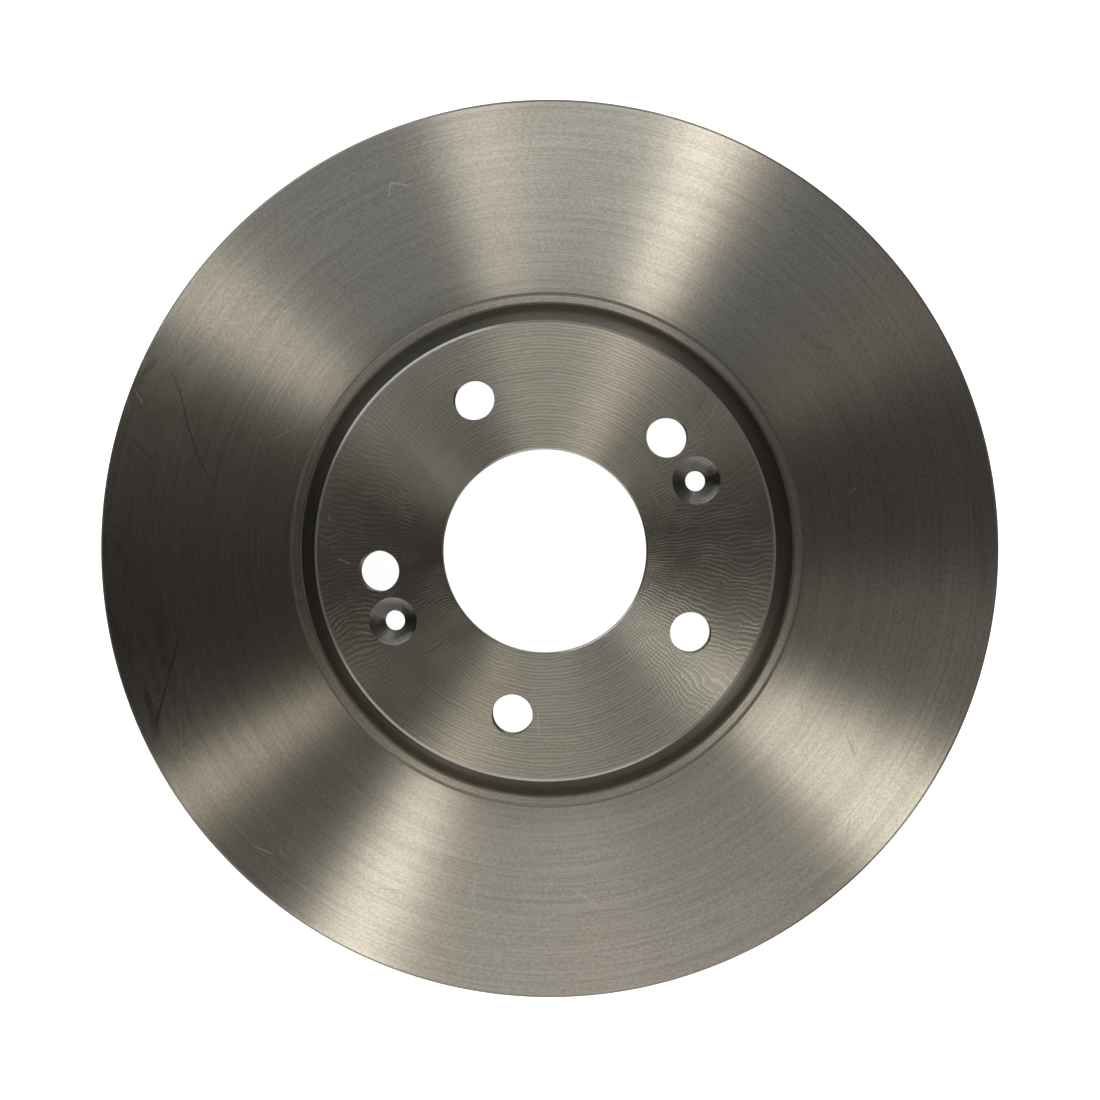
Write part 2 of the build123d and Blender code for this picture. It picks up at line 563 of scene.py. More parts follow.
FRICTION_MARKS = (
    Patch(100, 141, 10, 0, 420, 0.7, Look.SCUFF),
    Patch(94, 128, 8, 0, 480, 0.6, Look.SCUFF),
    Patch(62, 146, 9, 0, 480, 0.5, Look.SCUFF),
    Patch(50, 140, 10, 10, 420, 0.35, Look.SCUFF),
    Patch(244, 138, 10, 10, 320, 0.25, Look.SCUFF),
    Patch(113, 151, 14, -30, 150, 0.8),
    Patch(121, 147, 14, 50, 150, 0.7),
    Patch(133, 155, 18, 0, 110, 0.8),
    Patch(146, 150, 18, 5, 110, 0.7),
    Patch(158, 147, 18, -15, 150, 0.8),
    Patch(-8, 120, 9, 20, 300, 0.25),
    Patch(266, 150, 10, 0, 260, 0.2),
    Scratch((68, 139), (70, 142)),
    Scratch((70, 142), (71, 138)),
    Scratch((111.5, 149), (113.5, 143), OIL, 0.6, 0.4),
    Scratch((113.5, 143), (118, 135.5), OIL, 0.8, 0.4),
    Scratch((118, 135.5), (121.7, 129.5), OIL, 0.8, 0.4),
    Scratch((121.7, 129.5), (125, 123.5), OIL, 0.7, 0.4),
    Scratch((151, 136), (161, 153), OIL, 0.6, 0.5),
    Scratch((232, 122), (236, 129), PALE, 0.5, 0.3),
    Scratch((261, 130), (262, 137), PALE, 0.5, 0.3),
)
HUB_MARKS = (
    Patch(106, 57, 40, 90, 0, 0.45, Look.FILM),
    Patch(182, 57, 36, 90, 0, 0.45, Look.FILM),
)


# --- Finishes ---


@dataclass(frozen=True)
class TurnedFinish:
    """Bare grey iron, turned or bored, with rings that run round the tool's axis."""

    skin: Skin
    bare: Colour = (0.50, 0.465, 0.40)
    stained: Colour = (0.30, 0.27, 0.225)
    roughness: float = 0.285
    across: Across = Across.FACE
    stretch: float = 1.0
    pitch: float = 0.9 * MM
    depth: float = 0.012 * MM
    even: float = 0.2
    broken: float = 0.45
    grain: float = 0.6
    tone: float = 0.2
    lines: float = 0.5
    chatter: float = 0.0
    chatter_count: float = 250.0
    chatter_wander: float = 52.0
    chatter_lean: float = math.radians(137)
    # How strongly the chatter lines are tinted pale: a painted glint.
    chatter_painted_glint: float = 0.5
    rings_in_chatter: float = 0.4
    smudge_size: float = 45 * MM
    smudge_cover: float = 0.3
    smudge_tint: float = 0.55
    nick_amount: float = 0.12
    nick_tint: float = 0.45
    wear: float = 0.35
    local: bool = False
    level: float = 0.0  # of the marked face, in millimetres
    face_marks: tuple[Patch | Scratch, ...] = ()

    def build(self, effects: Effects) -> bpy.types.Material:
        """Makes the material.

        Args:
            effects: the shared shader groups.

        Returns:
            The finished material.
        """
        material = bpy.data.materials.new(self.skin.value)
        bench = Bench.blank(material)
        if self.local:
            point = bench.add("ShaderNodeAttribute", attribute_name="tool_point")["Vector"]
        else:
            point = bench.add("ShaderNodeTexCoord")["Object"]
        flat = point * (1.0, 1.0, 0.0)
        heading, travel = bench.vector("NORMALIZE", flat), bench.vector("LENGTH", flat)
        if self.across is Across.SIDE:
            travel = bench.add("ShaderNodeSeparateXYZ", {0: point})[2]
        marks = bench.place(effects.marks, {
            "Travel": travel, "Heading": heading, "Pitch": self.pitch, "Even": self.even,
            "Broken": self.broken, "Grain": self.grain})
        height, tone = marks["Height"], marks["Tone"]
        cloud = bench.place(effects.smudge, {
            "Point": point, "Size": self.smudge_size, "Cover": self.smudge_cover, "Edge": 0.25})
        dark = bench.maths("MAXIMUM", cloud * self.smudge_tint, tone * self.tone)
        colour = bench.tint(dark, self.bare, self.stained)
        middle = 0.5 + self.grain / 2
        ringed = height.fade(middle - 0.2, middle + 0.2) * self.lines
        if self.chatter:
            wave = bench.place(effects.ripple, {
                "Point": point, "Count": self.chatter_count, "Wander": self.chatter_wander,
                "Lean": self.chatter_lean})
            height = wave["Height"] * self.chatter + height
            # On the sides that the lamps leave dark, the ring lines are faded and the chatter lines
            # tinted pale: a painted glint.
            ringed = ringed * wave["Side"].spread(1.0, self.rings_in_chatter)
            colour = bench.tint(wave["Lines"] * self.chatter_painted_glint, colour, PALE)
        colour = bench.tint(ringed, colour, self.stained)
        damaged = bench.place(
            effects.scratch, {"Point": point, "Amount": self.nick_amount, **NICKS})
        colour = bench.tint(damaged * self.nick_tint, colour, BRIGHT)
        for mark in self.face_marks:
            mask = mark.mask(bench, effects, point, self.level) * mark.strength
            colour = bench.tint(mask, colour, mark.colour)
            if mark.look is not Look.FILM:
                damaged = bench.maths("MAXIMUM", damaged, mask)
        rough = tone.spread(self.roughness, self.roughness + 0.03) + cloud * 0.05
        along = bench.add(
            "ShaderNodeVectorTransform", {0: bench.vector("CROSS_PRODUCT", (0, 0, 1), heading)},
            vector_type="VECTOR", convert_from="OBJECT", convert_to="WORLD")
        bench.surface(height, self.depth, {
            "Base Color": colour, "Metallic": 1.0, "Roughness": rough + damaged * self.wear,
            "Anisotropic": self.stretch, "Anisotropic Rotation": 0.25, "Tangent": along})
        return material


@dataclass(frozen=True)
class CastFinish:
    """The dark skin of a sand casting, with a little rust bloom."""

    skin: Skin
    iron: Colour = (0.10, 0.095, 0.09)
    dust: Colour = (0.19, 0.175, 0.16)
    rust: Colour = (0.17, 0.10, 0.06)
    grain: float = 0.9 * MM
    depth: float = 0.12 * MM
    roughness: float = 0.62
    metallic: float = 0.35

    def build(self, effects: Effects) -> bpy.types.Material:
        """Makes the material.

        Args:
            effects: the shared shader groups.

        Returns:
            The finished material.
        """
        material = bpy.data.materials.new(self.skin.value)
        bench = Bench.blank(material)
        point = bench.add("ShaderNodeTexCoord")["Object"]
        grain = bench.place(effects.grain, {"Point": point, "Grain": self.grain})
        bloom = bench.place(
            effects.smudge, {"Point": point, "Size": 30 * MM, "Cover": 0.35, "Edge": 0.3})
        colour = bench.tint(grain["Tone"], self.iron, self.dust)
        bench.surface(grain["Height"], self.depth, {
            "Base Color": bench.tint(bloom * 0.5, colour, self.rust), "Metallic": self.metallic,
            "Roughness": grain["Tone"].spread(self.roughness - 0.08, self.roughness + 0.12)})
        return material


FINISHES: tuple[TurnedFinish | CastFinish, ...] = (
    TurnedFinish(
        Skin.FRICTION, depth=0.016 * MM, even=0.1, broken=0.7, grain=1.0, lines=0.65,
        level=-12.5, face_marks=FRICTION_MARKS),
    TurnedFinish(
        Skin.LAND, bare=(0.52, 0.49, 0.43), roughness=0.36, stretch=0.93, pitch=0.6 * MM,
        depth=0.05 * MM, broken=0.9, grain=1.2, lines=0.8),
    TurnedFinish(
        Skin.HUB_FACE, bare=(0.42, 0.388, 0.32), stained=(0.17, 0.15, 0.125), pitch=1.15 * MM,
        roughness=0.36, stretch=0.92, depth=0.03 * MM, even=0.6, broken=0.4, grain=0.6,
        chatter=0.5, lines=0.6, level=7.5, face_marks=HUB_MARKS),
    TurnedFinish(
        Skin.HAT_SIDE, across=Across.SIDE, bare=(0.60, 0.57, 0.52), stained=(0.42, 0.39, 0.34),
        roughness=0.5, stretch=0.7),
    # The groove's dark colours are partly painted shade of the deep groove under the hat wall, and
    # partly a real dark stain.
    TurnedFinish(
        Skin.GROOVE, bare=(0.22, 0.205, 0.18), stained=(0.13, 0.12, 0.10), roughness=0.45,
        pitch=0.7 * MM, nick_amount=0.0),
    TurnedFinish(
        Skin.RIM, across=Across.SIDE, bare=(0.24, 0.225, 0.20), stained=(0.13, 0.12, 0.10),
        roughness=0.36, pitch=0.6 * MM, depth=0.02 * MM),
    TurnedFinish(
        Skin.CHAMFER, bare=(0.30, 0.285, 0.26), stained=(0.2, 0.19, 0.17), roughness=0.3,
        stretch=0.5, nick_amount=0.0),
    TurnedFinish(Skin.SEAT, roughness=0.36, pitch=0.5 * MM),
    TurnedFinish(Skin.BORE, across=Across.SIDE, roughness=0.36),
    TurnedFinish(
        Skin.DRILLED, across=Across.SIDE, local=True, bare=(0.24, 0.225, 0.20), roughness=0.4),
    # The countersink's dark colours paint the shade inside the sunk cone.
    TurnedFinish(
        Skin.COUNTERSINK, local=True, bare=(0.24, 0.23, 0.215), stained=(0.07, 0.065, 0.06),
        roughness=0.3, pitch=0.8 * MM, depth=0.04 * MM, even=0.5, broken=0.3, grain=0.8, lines=0.6),
    CastFinish(Skin.CAST),
)


# --- Outlines and meshes ---

Run = tuple[Skin, tuple[Point, ...]]


def arc(centre: Point, radius: float, start: float, end: float,
        steps: int = 8) -> tuple[Point, ...]:
    """Points along an arc.

    Args:
        centre: radius and height of the arc's centre.
        radius: the arc's own radius.
        start: start angle in degrees, 0 outwards and 90 up.
        end: end angle in degrees.
        steps: how many chords make it.

    Returns:
        The points from start to end.
    """
    (r, z), turns = centre, (start + (end - start) * i / steps for i in range(steps + 1))
    return tuple(
        (r + radius * math.cos(t), z + radius * math.sin(t)) for t in map(math.radians, turns))


def rows(points: tuple[Point, ...], gap: float) -> tuple[Point, ...]:
    """Divides the long spans of a run.

    Args:
        points: the run.
        gap: the longest span to leave.

    Returns:
        The run with points added.
    """
    full = [points[0]]
    for (r0, z0), (r1, z1) in zip(points, points[1:]):
        count = max(1, math.ceil(math.hypot(r1 - r0, z1 - z0) / gap))
        full += [
            (r0 + (r1 - r0) * i / count, z0 + (z1 - z0) * i / count) for i in range(1, count + 1)]
    return tuple(full)


def outline_mesh(name: str, runs: tuple[Run, ...]) -> bpy.types.Mesh:
    """The closed outline of a ring as a loop of edges.

    Args:
        name: the mesh's name.
        runs: its runs, counter-clockwise, each with its finish.

    Returns:
        The mesh, with each point's skin number for the face that starts there.
    """
    spans = [(skin, a, b) for skin, run in runs for a, b in zip(run, run[1:])]
    spans = [(skin, a) for skin, a, b in spans if math.dist(a, b) > 1e-7]
    mesh = bpy.data.meshes.new(name)
    edges = [(i, (i + 1) % len(spans)) for i in range(len(spans))]
    mesh.from_pydata([(r, 0.0, z) for _, (r, z) in spans], edges, [])
    skins = [list(Skin).index(skin) for skin, _ in spans]
    mesh.attributes.new("skin", "INT", "POINT").data.foreach_set("value", skins)
    return mesh


def lathe_group() -> bpy.types.NodeTree:
    """The geometry group that turns a closed outline into a ring.

    Returns:
        The group: a Ring, with the outline's skin numbers kept on its faces.
    """
    bench = Bench.group(
        "lathe", "Geometry", "Outline:Geometry, Segments:Int", "Ring:Geometry")
    outline, segments = bench.takes["Outline"], bench.takes["Segments"]
    count = bench.add("GeometryNodeAttributeDomainSize", {0: outline})["Point Count"]
    around = segments + 1.0
    grid = bench.add("GeometryNodeMeshGrid", {"Vertices X": count + 1.0, "Vertices Y": around})
    index = bench.add("GeometryNodeInputIndex")
    row = bench.maths("FLOOR", (index + 0.5) / around)
    place = bench.add("GeometryNodeInputPosition")
    corner = bench.sample(outline, place, bench.maths("MODULO", row, count), "FLOAT_VECTOR")
    swung = corner.turned((index - row * around) / segments * FULL_TURN)
    ring = bench.add("GeometryNodeSetPosition", {"Geometry": grid, "Position": swung})
    skin = bench.add("GeometryNodeInputNamedAttribute", {"Name": "skin"}, data_type="INT")
    kept = bench.sample(outline, skin, bench.maths("FLOOR", (index + 0.5) / segments), "INT")
    ring = bench.add(
        "GeometryNodeStoreNamedAttribute", {"Geometry": ring, "Name": "skin", "Value": kept},
        data_type="INT", domain="FACE")
    return bench.give(Ring=bench.add(
        "GeometryNodeMergeByDistance", {"Geometry": ring, "Distance": 0.001 * MM}))


def dress_group(name: str, materials: dict[Skin, bpy.types.Material]) -> bpy.types.NodeTree:
    """The geometry group that makes instances real and gives each face its finish.

    Args:
        name: the group's name.
        materials: the finishes that the piece has.

    Returns:
        The group: a Piece from a Mesh whose faces carry skin numbers.
    """
    bench = Bench.group(name, "Geometry", "Mesh:Geometry", "Piece:Geometry")
    piece = bench.add("GeometryNodeRealizeInstances", {0: bench.takes["Mesh"]})
    number = bench.add("GeometryNodeInputNamedAttribute", {"Name": "skin"}, data_type="INT")
    for skin, material in materials.items():
        same = bench.add(
            "FunctionNodeCompare", {2: number, 3: list(Skin).index(skin)}, data_type="INT",
            operation="EQUAL")
        piece = bench.dress(piece, material, Selection=same)
    return bench.give(Piece=piece)


def link(name: str, data: bpy.types.ID) -> bpy.types.Object:
    """Puts a mesh, a light or a camera in the scene.

    Args:
        name: the object's name.
        data: what it shows.

    Returns:
        The object.
    """
    thing = bpy.data.objects.new(name, data)
    bpy.context.scene.collection.objects.link(thing)
    return thing


def bake(name: str, start: bpy.types.Mesh, tree: bpy.types.NodeTree, values: dict[str, float],
         sharp: float) -> bpy.types.Object:
    """Runs a geometry tree on a mesh and keeps the result as a plain mesh.

    Args:
        name: the piece's name.
        start: the mesh that the tree starts from.
        tree: the geometry tree.
        values: its inputs by name.
        sharp: the angle in degrees past which an edge stays sharp.

    Returns:
        The piece, linked to the scene.
    """
    seed = link(f"{name}_seed", start)
    modifier = seed.modifiers.new("build", "NODES")
    modifier.node_group = tree
    for item in tree.interface.items_tree:
        if item.in_out == "INPUT" and item.name in values:
            modifier[item.identifier] = values[item.name]
    graph = bpy.context.evaluated_depsgraph_get()
    mesh = bpy.data.meshes.new_from_object(
        seed.evaluated_get(graph), preserve_all_data_layers=True, depsgraph=graph)
    seed.modifiers.remove(modifier)
    bpy.data.objects.remove(seed)
    mesh.name = name
    mesh.shade_smooth()
    mesh.set_sharp_from_angle(angle=math.radians(sharp))
    return link(name, mesh)


# --- The casting's sections ---


@dataclass
class Sizes:
    """The main sizes of the disc, read from the frame, in metres."""

    disc_radius: float
    hat_radius: float
    groove_radius: float
    hub_face: float
    hub_underside: float
    outboard_face: float
    inboard_face: float
    vent_top: float
    vent_bottom: float
    neck_bottom: float
    bore_radius: float
    pitch_radius: float
    stud_radius: float
    stud_count: int
    screw_radius: float
    screw_count: int
    inboard_bore: float = 92.5 * MM
    run_out_radius: float = 95.0 * MM
    neck_flat: float = 4.0 * MM

    @classmethod
    def from_frame(cls) -> "Sizes":
        """Reads the CAD nodes' boxes and the record's mounts.

        Returns:
            The sizes.
        """
        mounts = {m["name"]: m.get("dims") for m in frame["record"]["mounts"]}
        studs, screws = mounts["stud_holes"], mounts["retaining_screw_holes"]
        flange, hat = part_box("hub_flange"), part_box("hat_wall")
        neck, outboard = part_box("neck_web"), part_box("outboard_plate")
        inboard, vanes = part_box("inboard_plate"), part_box("cooling_vanes")
        return cls(
            disc_radius=outboard[1].x, hat_radius=hat[1].x, groove_radius=neck[1].x,
            hub_face=flange[1].z, hub_underside=hat[1].z, outboard_face=outboard[1].z,
            inboard_face=inboard[0].z, vent_top=vanes[1].z, vent_bottom=vanes[0].z,
            neck_bottom=neck[0].z, bore_radius=mounts["centre_bore"]["r_mm"] * MM,
            pitch_radius=studs["pcd_mm"] / 2 * MM, stud_radius=studs["hole_r_mm"] * MM,
            stud_count=studs["count"], screw_radius=screws["hole_r_mm"] * MM,
            screw_count=screws["count"])

    @property
    def neck_bottom_at_groove(self) -> float:
        """How high the neck's sloped underside is below the groove's outer wall.

        Returns:
            The height.
        """
        start = self.hat_radius + self.neck_flat
        slope = (self.vent_top - self.neck_bottom) / (self.run_out_radius - start)
        return self.neck_bottom + slope * (self.groove_radius - start)


@dataclass
class Section:
    """A section of the casting, which stands for one CAD node."""

    sizes: Sizes
    materials: dict[Skin, bpy.types.Material]

    name: ClassVar[str]
    node: ClassVar[str]
    slot: ClassVar[str]
    sharp: ClassVar[float] = 28.0

    def start(self) -> bpy.types.Mesh:
        """The mesh that the section grows from, which each section gives."""
        raise NotImplementedError

    def tree(self) -> bpy.types.NodeTree:
        """The geometry tree that builds and dresses the section, which each section gives."""
        raise NotImplementedError

    def values(self) -> dict[str, float]:
        """The geometry tree's inputs by name, which each section gives."""
        raise NotImplementedError

    def build(self) -> None:
        """Makes the piece and puts it in its CAD node's place."""
        piece = bake(self.name, self.start(), self.tree(), self.values(), self.sharp)
        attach(piece, BODY)
        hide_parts(self.node)
        log.info("%s: %d faces, %d finishes", self.name, len(piece.data.polygons),
                 len(piece.data.materials))


@dataclass
class Ring(Section):
    """A section that is turned from one outline."""

    lathe: bpy.types.NodeTree
    segments: int = 360

    def outline(self) -> tuple[Run, ...]:
        """The section's outline, which each ring gives."""
        raise NotImplementedError

    def start(self) -> bpy.types.Mesh:
        """The outline as a mesh."""
        return outline_mesh(self.name, self.outline())

    def values(self) -> dict[str, float]:
        """The number of segments round the ring."""
        return {"Segments": self.segments}

    def turn(self, bench: Bench) -> Wire:
        """Turns and dresses the ring.

        Args:
            bench: the bench of a tree that takes Outline and Segments.

        Returns:
            The ring.
        """
        used = {skin: self.materials[skin] for skin, _ in self.outline()}
        ring = bench.place(self.lathe, {key: bench.takes[key] for key in ("Outline", "Segments")})
        return bench.place(dress_group(f"dress_{self.name}", used), {"Mesh": ring})

    def tree(self) -> bpy.types.NodeTree:
        """The geometry tree that turns and dresses the ring."""
        bench = Bench.group(
            f"build_{self.name}", "Geometry", "Outline:Geometry, Segments:Int", "Piece:Geometry")
        return bench.give(Piece=self.turn(bench))


@dataclass
class HubFlange(Ring):
    """The top of the hat, drilled for the studs and the retaining screws."""

    seat_radius: float = 68 * MM
    chamfer: float = 1.0 * MM
    edge_break: float = 0.3 * MM
    lead_in: float = 2.0 * MM
    screw_angle: float = math.radians(-18)
    countersink_radius: float = 8.2 * MM
    hole_segments: int = 96
    over: float = 1.0 * MM

    name, node, slot = "drilled_hub_flange", "hub_flange", "machined_hub_face"

    @property
    def studs(self) -> tuple[int, float]:
        """How many stud holes there are, and the first one's angle."""
        return (self.sizes.stud_count, 0.0)

    @property
    def screws(self) -> tuple[int, float]:
        """How many screw holes there are, and the first one's angle."""
        return (self.sizes.screw_count, self.screw_angle)

    def outline(self) -> tuple[Run, ...]:
        """The flange's outline.

        Returns:
            Its runs in order.
        """
        s, top, under = self.sizes, self.sizes.hub_face, self.sizes.hub_underside
        edge, bore, chamfer = s.hat_radius, s.bore_radius, self.chamfer
        broken, lead = self.edge_break, self.lead_in
        return (
            (Skin.SEAT, ((bore + lead, 0.0), (self.seat_radius, 0.0))),
            (Skin.CAST, ((self.seat_radius, 0.0), (self.seat_radius, under), (edge, under))),
            (Skin.HAT_SIDE, ((edge, under), (edge, top - chamfer))),
            (Skin.CHAMFER, ((edge, top - chamfer), (edge - chamfer, top))),
            (Skin.HUB_FACE, ((edge - chamfer, top), (bore + broken, top))),
            (Skin.CHAMFER, ((bore + broken, top), (bore, top - broken))),
            (Skin.BORE, ((bore, top - broken), (bore, lead))),
            (Skin.CHAMFER, ((bore, lead), (bore + lead, 0.0))),
        )

    def values(self) -> dict[str, float]:
        """The segments and the holes' radii."""
        s = self.sizes
        return {"Segments": self.segments, "Hole Segments": self.hole_segments,
                "Stud Radius": s.stud_radius, "Screw Radius": s.screw_radius,
                "Countersink Radius": self.countersink_radius}

    def hole_places(self, bench: Bench, holes: tuple[int, float]) -> Wire:
        """Spaces points evenly round the pitch circle.

        Args:
            bench: the tree's bench.
            holes: how many there are, and the first one's angle.

        Returns:
            The points.
        """
        count, start = holes
        angle = bench.add("GeometryNodeInputIndex") * (FULL_TURN / count) + start
        swung = bench.add(
            "ShaderNodeVectorRotate",
            {"Vector": (self.sizes.pitch_radius, 0.0, 0.0), "Angle": angle}, rotation_type="Z_AXIS")
        return bench.add("GeometryNodePoints", {"Count": count, "Position": swung})

    def drill(self, bench: Bench, part: Wire, cutter: Wire, height: object,
              holes: tuple[int, float]) -> Wire:
        """Cuts one tool through the flange all round the pitch circle.

        Args:
            bench: the tree's bench.
            part: the flange so far.
            cutter: the tool.
            height: how high it stands.
            holes: how many there are, and the first one's angle.

        Returns:
            The drilled flange.
        """
        lift = bench.add("ShaderNodeCombineXYZ", {2: height})
        cutter = bench.add("GeometryNodeTransform", {0: cutter, "Translation": lift})
        cutter = bench.dress(cutter, self.materials[Skin.DRILLED])
        places = self.hole_places(bench, holes)
        tools = bench.add("GeometryNodeInstanceOnPoints", {"Points": places, "Instance": cutter})
        tools = bench.add("GeometryNodeRealizeInstances", {0: tools})
        return bench.add(
            "GeometryNodeMeshBoolean", {"Mesh 1": part, "Mesh 2": tools}, operation="DIFFERENCE",
            solver="EXACT")

    def tree(self) -> bpy.types.NodeTree:
        """The geometry tree that turns, drills and dresses the flange.

        Returns:
            The tree.
        """
        top, over = self.sizes.hub_face, self.over
        bench = Bench.group(
            f"build_{self.name}", "Geometry",
            "Outline:Geometry, Segments:Int, Hole Segments:Int, Stud Radius, Screw Radius, "
            "Countersink Radius", "Piece:Geometry")
        t = bench.takes
        part = self.turn(bench)
        for radius, holes in (("Stud Radius", self.studs), ("Screw Radius", self.screws)):
            cutter = bench.add(
                "GeometryNodeMeshCylinder",
                {"Vertices": t["Hole Segments"], "Radius": t[radius], "Depth": top + 2 * over})
            part = self.drill(bench, part, cutter, top / 2, holes)
        wide = t["Countersink Radius"] + over
        cone = bench.add(
            "GeometryNodeMeshCone",
            {"Vertices": t["Hole Segments"], "Radius Bottom": 0.0, "Radius Top": wide,
             "Depth": wide})
        low = bench.maths("SUBTRACT", top, t["Countersink Radius"])
        part = self.drill(bench, part, cone, low, self.screws)
        part = bench.add("GeometryNodeRealizeInstances", {0: part})
        cut = bench.add("GeometryNodeMaterialSelection", {0: self.materials[Skin.DRILLED]})
        part = self.mark_tools(bench, part, cut)
        facing = bench.add("ShaderNodeSeparateXYZ", {0: bench.add("GeometryNodeInputNormal")})[2]
        upward = bench.maths("GREATER_THAN", facing, 0.3)
        sunk = bench.add("FunctionNodeBooleanMath", {0: cut, 1: upward}, operation="AND")
        return bench.give(
            Piece=bench.dress(part, self.materials[Skin.COUNTERSINK], Selection=sunk))

    def mark_tools(self, bench: Bench, part: Wire, cut: Wire) -> Wire:
        """Stores where each drilled face lies from the axis of its own tool.

        Args:
            bench: the tree's bench.
            part: the drilled flange.
            cut: which faces the tools left.

        Returns:
            The flange, with the tool_point attribute.
        """
        centres = bench.add("GeometryNodeJoinGeometry")
        for holes in (self.studs, self.screws):
            bench.feed(centres.node.inputs[0], self.hole_places(bench, holes))
        place = bench.add("GeometryNodeInputPosition")
        near = bench.add("GeometryNodeSampleNearest", {0: centres, 1: place}, domain="POINT")
        own = place - bench.sample(centres, place, near, "FLOAT_VECTOR")
        chosen = bench.add("GeometryNodeSwitch", {0: cut, 1: place, 2: own}, input_type="VECTOR")
        return bench.add(
            "GeometryNodeStoreNamedAttribute",
            {"Geometry": part, "Name": "tool_point", "Value": chosen}, data_type="FLOAT_VECTOR",
            domain="CORNER")


@dataclass
class HatWall(Ring):
    """The side of the hat: turned outside, cast inside."""

    inner_radius: float = 71.5 * MM
    corner: float = 3.0 * MM
    mouth_round: float = 3.0 * MM
    draft: float = math.radians(1.5)

    name, node, slot = "hat_side_wall", "hat_wall", "turned_hat_side"

    def outline(self) -> tuple[Run, ...]:
        """The wall's outline.

        Returns:
            Its runs in order.
        """
        s, top, low = self.sizes, self.sizes.hub_underside, self.sizes.neck_bottom
        inner, corner, rounded = self.inner_radius, self.corner, self.mouth_round
        mouth = inner + (top - corner - low) * math.tan(self.draft)
        curve = arc((mouth + rounded, low + rounded), rounded, 180, 270)
        inside = (*arc((inner - corner, top - corner), corner, 90, 0), *rows((
            (inner, top - corner), curve[0]), 1.5 * MM), *curve)
        return (
            (Skin.CAST, (*inside, (s.hat_radius, low))),
            (Skin.HAT_SIDE, ((s.hat_radius, low), (s.hat_radius, top))),
            (Skin.CAST, ((s.hat_radius, top), (inner - corner, top))),
        )


@dataclass
class NeckWeb(Ring):
    """The web under the relief groove."""

    fillet: float = 2.0 * MM
    groove_depth: float = 5.0 * MM

    name, node, slot = "grooved_neck", "neck_web", "turned_groove"

    def outline(self) -> tuple[Run, ...]:
        """The neck's outline.

        Returns:
            Its runs in order.
        """
        s, f = self.sizes, self.fillet
        floor = s.outboard_face - self.groove_depth + f
        inner, outer = s.hat_radius, s.groove_radius
        return (
            (Skin.CAST, rows((
                (inner, floor), (inner, s.neck_bottom), (inner + s.neck_flat, s.neck_bottom),
                (outer, s.neck_bottom_at_groove), (outer, floor)), 1.5 * MM)),
            (Skin.GROOVE, (
                *arc((outer - f, floor), f, 0, -90), *arc((inner + f, floor), f, 270, 180))),
        )


@dataclass
class OutboardPlate(Ring):
    """The outboard friction plate, with the land inside its face."""

    land_edge_break: float = 0.4 * MM
    edge_round: float = 0.6 * MM
    land_width: float = 2.6 * MM
    land_drop: float = 0.8 * MM
    land_step: float = 0.5 * MM
    rim_chamfer: float = 1.0 * MM

    name, node, slot = "outboard_friction_plate", "outboard_plate", "machined_friction_face"

    def outline(self) -> tuple[Run, ...]:
        """The plate's outline.

        Returns:
            Its runs in order.
        """
        s, face, rim = self.sizes, self.sizes.outboard_face, self.rim_chamfer
        inner, edge, land = s.groove_radius, s.disc_radius, face - self.land_drop
        step, rounded, broken = inner + self.land_width, self.edge_round, self.land_edge_break
        lip = arc((step + self.land_step + rounded, face - rounded), rounded, 90, 150)
        return (
            (Skin.CAST, rows((
                (inner, s.neck_bottom_at_groove), (s.run_out_radius, s.vent_top),
                (edge, s.vent_top)), 4 * MM)),
            (Skin.RIM, ((edge, s.vent_top), (edge, face - rim), (edge - rim, face))),
            (Skin.FRICTION, rows((
                (edge - rim, face), (step + self.land_step + rounded, face)), 10 * MM)),
            (Skin.CHAMFER, lip),
            (Skin.LAND, (lip[-1], (step, land), (inner + broken, land))),
            (Skin.CHAMFER, arc((inner + broken, land - broken), broken, 90, 180, 4)),
            (Skin.HAT_SIDE, ((inner, land - broken), (inner, s.neck_bottom_at_groove))),
        )


@dataclass
class InboardPlate(Ring):
    """The inboard friction plate, open wide enough to let air into the vents."""

    edge_chamfer: float = 1.5 * MM
    rim_chamfer: float = 1.0 * MM
    mouth_round: float = 3.0 * MM

    name, node, slot = "inboard_friction_plate", "inboard_plate", "machined_inboard_face"

    def outline(self) -> tuple[Run, ...]:
        """The plate's outline.

        Returns:
            Its runs in order.
        """
        s, face, rim = self.sizes, self.sizes.inboard_face, self.rim_chamfer
        bore, edge, m, chamfer = s.inboard_bore, s.disc_radius, self.mouth_round, self.edge_chamfer
        return (
            (Skin.CHAMFER, ((bore, face + chamfer), (bore + chamfer, face))),
            (Skin.FRICTION, rows(((bore + chamfer, face), (edge - rim, face)), 10 * MM)),
            (Skin.RIM, ((edge - rim, face), (edge, face + rim), (edge, s.vent_bottom))),
            (Skin.CAST, (
                *rows(((edge, s.vent_bottom), (bore + m, s.vent_bottom)), 4 * MM),
                *arc((bore + m, s.vent_bottom - m), m, 90, 180), (bore, face + chamfer))),
        )


